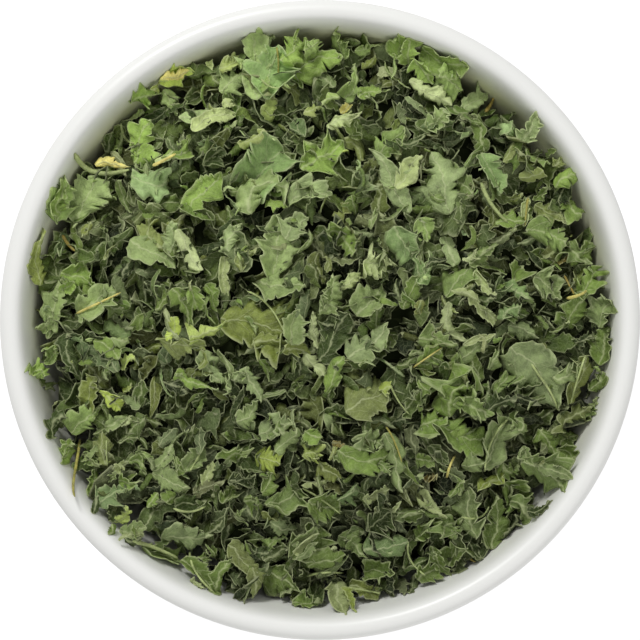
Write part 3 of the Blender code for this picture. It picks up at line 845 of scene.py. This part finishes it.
# Flakes that stand out in the photograph, region by region: colour, base x and y, tip x and y and
# width in its pixels, and form
NOTED_FLAKES = {
    "top_left": """
        fresh 131 101 158 94 18 frill, yellow 155 77 193 69 22 flat, straw 160 79 190 72 14 cup,
        olive 149 88 160 83 8 curl, grey 127 116 143 111 10 fold, dark 103 150 110 128 10 cup,
        fresh 131 163 152 118 28 flat, grey 75 222 95 175 38 flat, fresh 57 224 62 174 24 flat,
        mid 62 216 67 184 16 frill, grey 177 118 219 105 16 long, pale 190 133 237 112 14 long,
        fresh 184 214 222 172 22 flat, mid 160 160 192 144 18 curl, blue 131 172 168 168 18 frill,
        grey 162 86 176 113 20 flat, dark 200 165 225 150 18 curl, mid 112 152 118 132 12 curl,
        grey 218 90 244 72 20 flat, olive 218 67 238 54 16 curl, pale 206 58 213 71 7 fold,
        pale 222 98 235 104 9 fold, straw 94 164 129 165 12 cup, pale 153 166 176 154 7 long
    """,
    "top": """
        grey 258 50 272 30 14 frill, grey 256 100 249 31 22 fold, mid 354 48 382 42 15 flat,
        mid 344 58 336 27 30 flat, mid 286 70 341 57 26 flat, blue 264 99 278 44 42 flat,
        mid 304 50 322 42 12 frill, fresh 398 58 400 28 24 cup, mid 409 64 406 34 14 fold,
        olive 362 68 375 52 9 long, mid 330 102 355 62 18 curl, blue 236 190 283 150 45 fold,
        fresh 300 170 342 140 42 flat, grey 250 214 287 190 16 frill, grey 287 205 332 192 18 curl,
        grey 409 213 368 148 20 long, fresh 376 158 405 128 24 flat, pale 394 190 422 155 20 fold,
        dark 395 140 425 135 12 curl, olive 239 147 265 133 12 curl, pale 330 128 364 116 12 frill,
        gold 340 114 349 103 7 fold, olive 303 112 322 103 12 curl, mid 357 97 390 89 12 long,
        mid 280 62 298 36 22 flat, mid 300 50 328 39 16 flat
    """,
    "top_right": """
        mid 470 100 488 96 12 curl, mid 418 48 468 66 22 cup, fresh 415 56 434 82 18 fold,
        fresh 434 74 468 90 20 flat, pale 409 79 452 105 18 flat, grey 425 128 447 108 20 flat,
        grey 462 113 491 88 17 flat, fresh 478 113 497 106 10 curl, blue 503 136 517 115 18 flat,
        grey 522 142 537 112 20 flat, olive 503 162 512 140 13 flat, fresh 522 151 551 163 14 flat,
        mid 546 156 560 148 5 long, olive 553 165 561 155 9 curl, grey 450 213 430 150 40 flat,
        blue 482 152 500 194 22 fold, olive 536 203 569 222 18 flat, fresh 566 192 581 217 18 flat,
        fresh 553 186 575 172 16 curl, mid 534 200 552 186 14 curl, olive 518 178 544 168 12 long,
        pale 524 226 529 197 7 fold
    """,
    "left": """
        olive 38 285 42 229 22 flat, grey 54 333 57 280 20 fold, fresh 58 273 96 290 22 flat,
        fresh 56 290 72 280 14 cup, grey 75 313 120 292 24 fold, olive 168 252 145 217 22 curl,
        grey 172 253 170 223 22 flat, grey 127 238 176 269 30 flat, pale 178 228 204 273 12 long,
        mid 172 287 195 328 20 flat, mid 190 284 200 314 16 fold, mid 203 284 219 312 14 cup,
        yellow 174 312 165 339 14 curl, olive 156 342 203 350 18 curl, yellow 188 338 225 320 16 long,
        fresh 27 377 43 377 12 frill, grey 33 333 48 314 14 curl, fresh 42 362 60 344 16 curl,
        dark 66 332 76 375 14 long, mid 93 335 119 358 16 cup, grey 110 338 136 336 12 curl,
        yellow 122 368 133 357 9 curl, yellow 122 396 133 384 9 curl, yellow 98 392 120 412 16 curl,
        olive 80 410 96 376 16 fold, fresh 174 374 212 390 12 long, dark 189 400 209 399 18 cup,
        grey 195 358 220 384 18 curl, mid 63 423 101 407 18 cup, pale 114 423 131 414 8 curl
    """,
    "centre": """
        grey 229 254 240 224 20 curl, pale 226 256 229 296 10 long, grey 272 278 280 216 34 fold,
        olive 240 272 255 248 14 curl, grey 284 240 308 217 24 flat, olive 220 318 284 330 50 flat,
        grey 254 281 306 287 28 flat, olive 251 345 291 340 16 curl, olive 277 350 309 356 14 curl,
        grey 290 345 298 309 20 fold, pale 315 348 310 312 14 curl, dark 318 361 348 310 24 flat,
        pale 309 352 324 373 10 curl, grey 356 316 380 284 26 fold, pale 339 288 365 275 14 curl,
        pale 362 262 391 262 20 frill, grey 318 311 330 276 20 frill, grey 347 358 386 322 26 flat,
        fresh 326 394 344 356 20 curl, olive 345 412 388 388 36 flat, yellow 378 390 390 388 12 cup,
        blue 392 226 420 288 28 flat, mid 400 308 418 274 20 cup, mid 326 235 352 255 16 frill,
        grey 225 392 242 372 20 curl, grey 245 366 260 401 18 flat, fresh 260 358 269 381 8 long,
        grey 236 422 258 400 20 flat
    """,
    "right": """
        fresh 418 217 427 242 18 flat, fresh 445 298 475 258 34 flat, pale 475 270 495 297 14 curl,
        blue 495 292 529 300 18 curl, blue 503 318 521 303 18 frill, grey 508 325 540 338 22 flat,
        fresh 527 233 565 245 22 curl, mid 510 284 524 264 16 fold, grey 532 276 560 300 22 flat,
        mid 568 333 586 292 26 flat, grey 598 327 614 300 24 flat, mid 602 366 616 328 24 fold,
        dark 572 345 597 338 14 curl, grey 507 345 560 410 46 flat, grey 554 376 589 362 18 curl,
        olive 573 405 587 355 26 flat, pale 447 300 470 342 12 curl, pale 470 292 494 325 12 curl,
        mid 417 338 456 344 22 flat, grey 455 360 493 335 20 cup, fresh 415 364 442 348 26 fold,
        fresh 418 378 430 393 16 curl, olive 441 367 466 387 12 curl, fresh 494 392 508 370 16 curl,
        mid 487 368 499 346 14 curl, dark 480 415 513 398 20 curl, brown 558 263 568 254 7 curl,
        fresh 573 293 600 266 20 frill, fresh 495 222 525 220 14 cup, grey 444 234 452 266 12 long,
        mid 467 262 495 245 16 curl, blue 416 284 427 252 14 curl, fresh 439 400 482 392 38 frill,
        fresh 445 420 470 388 24 frill, mid 568 255 597 247 22 flat, mid 572 236 590 262 18 frill,
        pale 462 258 478 251 7 curl, pale 450 292 477 302 8 long, pale 462 345 495 334 6 long,
        mid 590 392 603 372 16 curl, fresh 586 420 600 398 16 curl
    """,
    "bottom_left": """
        dark 52 438 66 417 14 frill, fresh 56 462 72 440 18 cup, mid 63 455 73 445 9 curl,
        fresh 70 436 95 411 26 flat, grey 103 428 126 418 12 fold, mid 79 454 103 466 10 curl,
        pale 111 462 125 463 8 frill, fresh 133 454 153 460 9 curl, fresh 127 462 144 469 10 curl,
        mid 102 475 117 471 10 curl, fresh 117 482 139 480 14 cup, fresh 89 499 92 469 12 flat,
        blue 95 506 126 490 24 flat, dark 93 514 98 495 7 long, fresh 145 507 157 493 11 cup,
        grey 149 469 172 444 10 long, grey 185 472 202 447 16 fold, mid 173 455 184 471 9 curl,
        pale 203 486 212 461 9 fold, mid 160 502 188 490 15 cup, dark 173 504 205 501 24 cup,
        grey 150 474 190 487 20 cup, yellow 113 523 128 508 12 curl, grey 118 533 146 530 18 fold,
        mid 107 534 114 522 9 curl, grey 160 540 213 538 34 flat, dark 122 537 141 534 9 curl,
        mid 133 551 180 563 18 fold, mid 180 560 220 596 13 fold, fresh 213 590 225 556 11 fold,
        mid 196 558 209 556 9 curl, pale 194 577 203 588 6 curl, olive 105 466 101 432 16 flat,
        mid 80 456 103 464 8 long, pale 118 540 150 533 7 curl
    """,
    "bottom": """
        grey 257 435 297 423 26 flat, grey 274 450 295 430 20 curl, yellow 253 455 280 464 22 flat,
        grey 218 469 243 446 9 long, mid 226 460 248 455 15 frill, dark 227 481 254 471 11 curl,
        mid 259 493 273 473 15 cup, mid 264 505 300 488 32 flat, mid 243 500 260 501 19 cup,
        mid 220 506 232 487 15 flat, fresh 235 516 242 509 7 frill, fresh 264 549 286 539 11 frill,
        grey 269 522 298 531 19 flat, mid 290 558 316 523 28 flat, mid 302 500 341 512 26 fold,
        pale 302 488 331 479 7 curl, mid 332 452 348 460 12 flat, brown 331 442 345 448 8 curl,
        grey 356 448 380 446 18 frill, fresh 338 450 391 458 24 cup, mid 378 462 390 472 11 curl,
        grey 383 432 403 492 19 flat, fresh 299 436 308 444 10 cup, yellow 302 455 317 458 13 frill,
        fresh 305 430 322 436 17 cup, blue 337 500 357 483 20 fold, pale 362 499 389 489 10 fold,
        pale 373 508 401 501 8 curl, dark 364 530 390 512 26 cup, mid 402 518 424 514 17 cup,
        mid 338 536 366 558 20 flat, fresh 362 573 396 574 22 flat, blue 363 552 408 542 24 cup,
        mid 307 570 345 556 28 cup, olive 349 588 380 594 12 fold, pale 334 580 346 618 18 fold,
        mid 262 570 301 594 36 flat, fresh 292 608 320 602 18 cup, olive 227 545 255 576 18 long,
        olive 253 568 255 601 15 long, fresh 216 593 231 561 14 cup, pale 330 549 337 548 7 curl,
        olive 316 462 340 478 14 cup, grey 291 545 317 527 9 fold, pale 292 552 318 533 8 fold,
        grey 295 558 317 541 9 fold, yellow 340 588 355 614 9 fold
    """,
    "bottom_right": """
        fresh 437 424 487 440 27 flat, fresh 419 425 442 418 20 frill, fresh 452 405 484 420 18 frill,
        mid 484 471 495 442 16 flat, grey 482 468 509 418 26 fold, grey 458 468 485 462 24 cup,
        mid 517 430 526 415 9 curl, fresh 540 428 556 456 20 flat, mid 560 446 580 436 22 cup,
        mid 557 449 577 458 13 fold, mid 503 462 520 474 19 curl, fresh 521 460 567 492 30 flat,
        grey 521 446 536 469 13 fold, grey 538 464 571 479 20 cup, fresh 501 480 530 503 27 cup,
        yellow 479 494 503 478 11 curl, mid 507 504 530 522 15 curl, dark 505 540 522 518 20 flat,
        mid 492 551 497 494 27 flat, grey 475 539 469 488 25 flat, mid 447 568 471 548 22 cup,
        fresh 438 540 462 524 22 frill, fresh 430 546 452 577 15 fold, fresh 415 541 434 522 20 frill,
        mid 418 582 438 570 16 cup, pale 415 494 447 518 15 fold, brown 428 483 440 471 10 frill,
        grey 417 474 423 478 6 curl, mid 415 458 436 460 12 cup, dark 527 514 553 501 12 flat,
        olive 563 432 590 406 14 frill
    """,
}
# Noted flakes: grid, factor on the noted width, greatest lean, share of the pile's slope that they
# take, percentage of their points that clears the pile, greatest stretch to the noted length, how far
# off the slope is read as a share of the length, steepest tilt, and spread of lightness
NOTED_GRID = (34, 9)
NOTED_WIDTH = 1.38
NOTED_LEAN = 0.2
NOTED_SLOPE = 0.6
NOTED_PRESS = 82
NOTED_STRETCH = 1.5
NOTED_REACH = 0.4
NOTED_STEEPEST = 0.8
NOTED_SPREAD = 0.05

# Loose flakes: how far off the slope is read, the share of it that they take, steepest tilt, scatter
# of their places, and the share of them whose map has the midrib
LOOSE_REACH = 2.5 * MM
LOOSE_SLOPE = 0.7
LOOSE_STEEPEST = 1.25
LOOSE_SCATTER = 1.2 * MM
RIBBED_SHARE = 0.4

# How far at most, in millimetres, a flake's map is moved, so that no two have the same veins
MAP_SHIFT = 40

# Stalks, ribs that stand proud, and twigs: colour, radius, and x and y of each point of the path, in
# pixels of the photograph
STALKS = """
    pale 3.0 74 153 84 180 128 169, pale 1.6 119 122 120 140 133 142, straw 1.8 153 166 165 161 176 154,
    brown 2.2 487 109 492 103 495 95, pale 2.4 481 182 487 204 508 222, gold 1.2 528 197 526 211 525 225,
    brown 2.0 60 234 65 244 73 250, pale 1.2 390 385 396 401 408 413,
    gold 1.8 77 440 76 463 69 485 76 495, pale 2.5 133 541 150 546 177 560,
    pale 1.0 189 471 196 460 202 448, pale 1.2 302 488 319 496 340 514,
    gold 1.1 385 426 391 432 397 448 401 461, pale 1.2 408 542 404 562 425 576,
    pale 1.3 462 517 484 524 489 507, pale 1.2 509 418 486 436 484 471,
    pale 1.6 525 346 528 370 552 384 558 410, pale 1.2 247 291 270 298 284 332,
    straw 1.5 447 478 447 464 456 455, pale 1.4 188 553 189 572 214 593, straw 1.4 75 313 98 303 120 292,
    pale 1.3 349 588 365 592 380 595, brown 1.2 471 560 473 562 476 563,
    straw 1.8 567 298 580 295 587 290, brown 1.2 565 275 570 285 574 294,
    pale 1.1 585 355 577 375 571 403, straw 1.0 411 368 425 357 441 347,
    pale 1.0 105 440 105 455 106 467, pale 1.4 173 508 190 516 205 506, pale 1.4 305 579 320 570 343 575,
    gold 1.0 276 46 279 60 277 77, pale 1.0 261 79 268 88 279 88
"""
STALK_GRID = (14, 7)

# Dark gaps between the flakes: centre and radius in pixels of the photograph
GAPS = (
    (244, 279, 11), (230, 345, 9), (340, 346, 10), (324, 225, 12), (400, 320, 10), (515, 267, 11),
    (330, 531, 11), (352, 564, 8), (186, 500, 9), (432, 482, 9), (468, 314, 9), (92, 482, 7),
    (400, 532, 8), (335, 468, 6), (347, 89, 8), (376, 62, 7), (383, 106, 7), (258, 210, 8),
)
GAP_MARGIN = 12

# Painted light: the leaf is lighter towards the key lamp's side of the heap, by these powers of e at the
# wall, along X and Y
PAINTED_LIGHT_SLOPE = (-0.22, 0.48)

# Layers of loose flakes: how many, grid, lengths in mm, widths as shares of the length, form, greatest
# lean, how far they stay from the wall in mm, and the painted shade that darkens the lower layers
LAYERS = {
    "deep": ((260, (9, 4), (7, 12), (0.5, 0.8), "broad", 0.4, 2, 0.27),),
    "middle": (
        (120, (20, 5), (8, 12), (0.35, 0.7), "broad", 0.5, 2, 0.34),
        (120, (20, 5), (8, 12), (0.35, 0.7), "curl", 0.5, 2, 0.34),
        (120, (20, 5), (8, 12), (0.35, 0.7), "frill", 0.5, 2, 0.34),
    ),
    "small": (
        (200, (12, 4), (4.5, 8), (0.4, 0.75), "curl", 0.7, 0, 0.50),
        (110, (12, 4), (4.5, 8), (0.4, 0.75), "frill", 0.7, 0, 0.50),
        (200, (12, 4), (4.5, 8), (0.4, 0.75), "flat", 0.7, 0, 0.50),
        (130, (14, 3), (4, 9), (0.15, 0.35), "sliver", 0.6, 4, 0.75),
    ),
    "last": (
        (60, (12, 4), (2.5, 5), (0.3, 0.7), "curl", 0.8, 0, 0.85),
        (130, (6, 3), (1, 2), (0.4, 0.8), "curl", 0.9, 0.5, 1.0),
    ),
}
HEAP_MARGIN = 0.5 * MM


def tier(rng, pile, flakes, grid, lengths, aspects, form, lean, margin, painted_depth_shade):
    """One layer of loose flakes of about one size, dropped in random order.

    Lower layers are darkened with painted shade, standing in for the shadow of the flakes above.
    """
    reach = float(wall_radius(HEAP_EDGE_HEIGHT)) - HEAP_MARGIN - margin * MM
    length = rng.uniform(lengths[0] * MM, lengths[1] * MM, flakes)
    width = length * rng.uniform(*aspects, flakes)
    sheets = leaf_sheets(rng, flakes, *grid, length, width, FORMS[form])
    places = sunflower(flakes, reach, rng.uniform(0, TURN))[rng.permutation(flakes)]
    places = places + rng.normal(0, LOOSE_SCATTER, places.shape)
    places = places * np.minimum(1, reach / np.hypot(*places.T))[:, None]
    places = clear_of_gaps(in_bays(places))
    strew(rng, pile, sheets, places, rng.uniform(0, lean, flakes))
    # Leaf colour times the layer's painted shade, and painted light that is brighter towards the back and
    # left
    sheets["tint"] = leaf_tints(rng, flakes) * painted_depth_shade * painted_light_factor(places)[:, None]
    ribbed = rng.random((flakes, 1)) < RIBBED_SHARE
    shift = rng.uniform(-MAP_SHIFT, MAP_SHIFT, (flakes, 2))
    sheets["map_shift"] = shift * np.where(ribbed, (1, 0.004), (1, 0.2))
    return sheets


def make_bowl():
    """The bowl, with painted shade on its inside that thins out above the heap's edge."""
    section = bowl_section()
    height = section[:, 1]
    inside = np.arange(len(section)) < height.argmax()
    painted_wall_shade = inside * np.clip((PAINTED_WALL_SHADE_TOP - height) / (PAINTED_WALL_SHADE_TOP - HEAP_EDGE_HEIGHT), 0, 1) ** PAINTED_WALL_SHADE_POWER
    bowl = turned_surface("glazed_bowl", section, BOWL_STEPS, painted_wall_shade)
    bowl.data.materials.append(porcelain())
    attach(bowl, "root")
    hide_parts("bowl")


def make_core():
    """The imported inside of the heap, just below the flakes."""
    edge = float(wall_radius(HEAP_EDGE_HEIGHT - CORE_SINK, CORE_GAP))
    across = np.linspace(0, edge - CORE_EDGE, 24)
    dome = np.stack([across, dome_height(across) - CORE_SINK], -1)
    wall = inner_wall(40)
    wall = wall[wall[:, 1] < HEAP_EDGE_HEIGHT - CORE_SINK - CORE_SIDE][::-1] + (-CORE_GAP, CORE_GAP)
    floor = [(0, FLOOR_HEIGHT + CORE_GAP)]
    section = np.concatenate([dome, wall, floor])
    core = turned_surface("packed_flakes", section, 96, np.zeros(len(section)))
    core.data.materials.append(gap_shade_leaf())
    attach(core, "root")
    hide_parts("kale_heap")


def add_leaves(name, groups, material):
    """One piece of the heap, made of groups of flakes."""
    obj = thick_leaves(name, groups, material)
    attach(obj, "root")
    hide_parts("kale_heap")


def make_heap():
    """All flakes, dropped from the bottom up, and then the stalks on top."""
    rng = np.random.default_rng(SEED)
    pile = Pile()
    leaf = dried_leaf()
    loose = {name: [tier(rng, pile, *row) for row in LAYERS[name]] for name in ("deep", "middle", "small")}
    regions = {name: noted_flakes(rng, pile, rows) for name, rows in NOTED_FLAKES.items()}
    loose["small"] += [tier(rng, pile, *row) for row in LAYERS["last"]]
    for name, groups in loose.items():
        add_leaves(name + "_flakes", groups, leaf)
    for name, group in regions.items():
        add_leaves(name + "_flakes", [group], leaf)
    make_stalks(pile, leaf)


def make_floor():
    """A white ground that glows, so that it shows no shadow, and that lights nothing else."""
    bpy.ops.mesh.primitive_plane_add(size=FLOOR_SIZE)
    floor = bpy.context.object
    floor.name = "floor"
    material, shader, _ = node_material("pale_floor", 0.9, (FLOOR_GREY,) * 3)
    shader.inputs["Emission Color"].default_value = (1, 1, 1, 1)
    shader.inputs["Emission Strength"].default_value = FLOOR_GLOW
    floor.data.materials.append(material)
    floor.visible_diffuse = floor.visible_glossy = False


def add_area_light(name, place, size, power):
    """A round light that faces the bowl."""
    data = bpy.data.lights.new(name, "AREA")
    data.shape = "DISK"
    data.size = size
    data.energy = power
    lamp = bpy.data.objects.new(name, data)
    lamp.location = place
    bpy.context.scene.collection.objects.link(lamp)
    aim = np.array((0, 0, BOWL_HEIGHT)) - np.array(place)
    lamp.rotation_mode = "QUATERNION"
    lamp.rotation_quaternion = Vector(aim).to_track_quat("-Z", "Y")


def make_lights():
    """Two lamps, and a world that shines from above and, more strongly, from below."""
    add_area_light("key", *KEY_LIGHT)
    add_area_light("fill", *FILL_LIGHT)
    world = bpy.data.worlds.new("studio")
    world.use_nodes = True
    tree = world.node_tree
    background = tree.nodes["Background"]
    background.inputs["Color"].default_value = (1, 1, 1, 1)
    direction = tree.nodes.new("ShaderNodeTexCoord")
    height = tree.nodes.new("ShaderNodeSeparateXYZ")
    strength = tree.nodes.new("ShaderNodeMapRange")
    strength.inputs["From Min"].default_value = -0.05
    strength.inputs["From Max"].default_value = 0.05
    strength.inputs["To Min"].default_value = GROUND_LIGHT
    strength.inputs["To Max"].default_value = SKY_LIGHT
    tree.links.new(direction.outputs["Generated"], height.inputs[0])
    tree.links.new(height.outputs["Z"], strength.inputs["Value"])
    tree.links.new(strength.outputs[0], background.inputs["Strength"])
    bpy.context.scene.world = world
    bpy.context.scene.view_settings.view_transform = "Standard"


def make_camera():
    """Straight above, with the bowl's widest circle just filling the picture."""
    data = bpy.data.cameras.new("camera")
    rim_height = BOWL_HEIGHT - LIP_RADIUS
    data.sensor_width = 36
    data.lens = data.sensor_width * (CAMERA_HEIGHT - rim_height) / (2 * BOWL_RADIUS)
    camera = bpy.data.objects.new("camera", data)
    camera.location = (0, 0, CAMERA_HEIGHT)
    bpy.context.scene.collection.objects.link(camera)
    bpy.context.scene.camera = camera


make_camera()
make_lights()
make_floor()
make_bowl()
make_core()
make_heap()
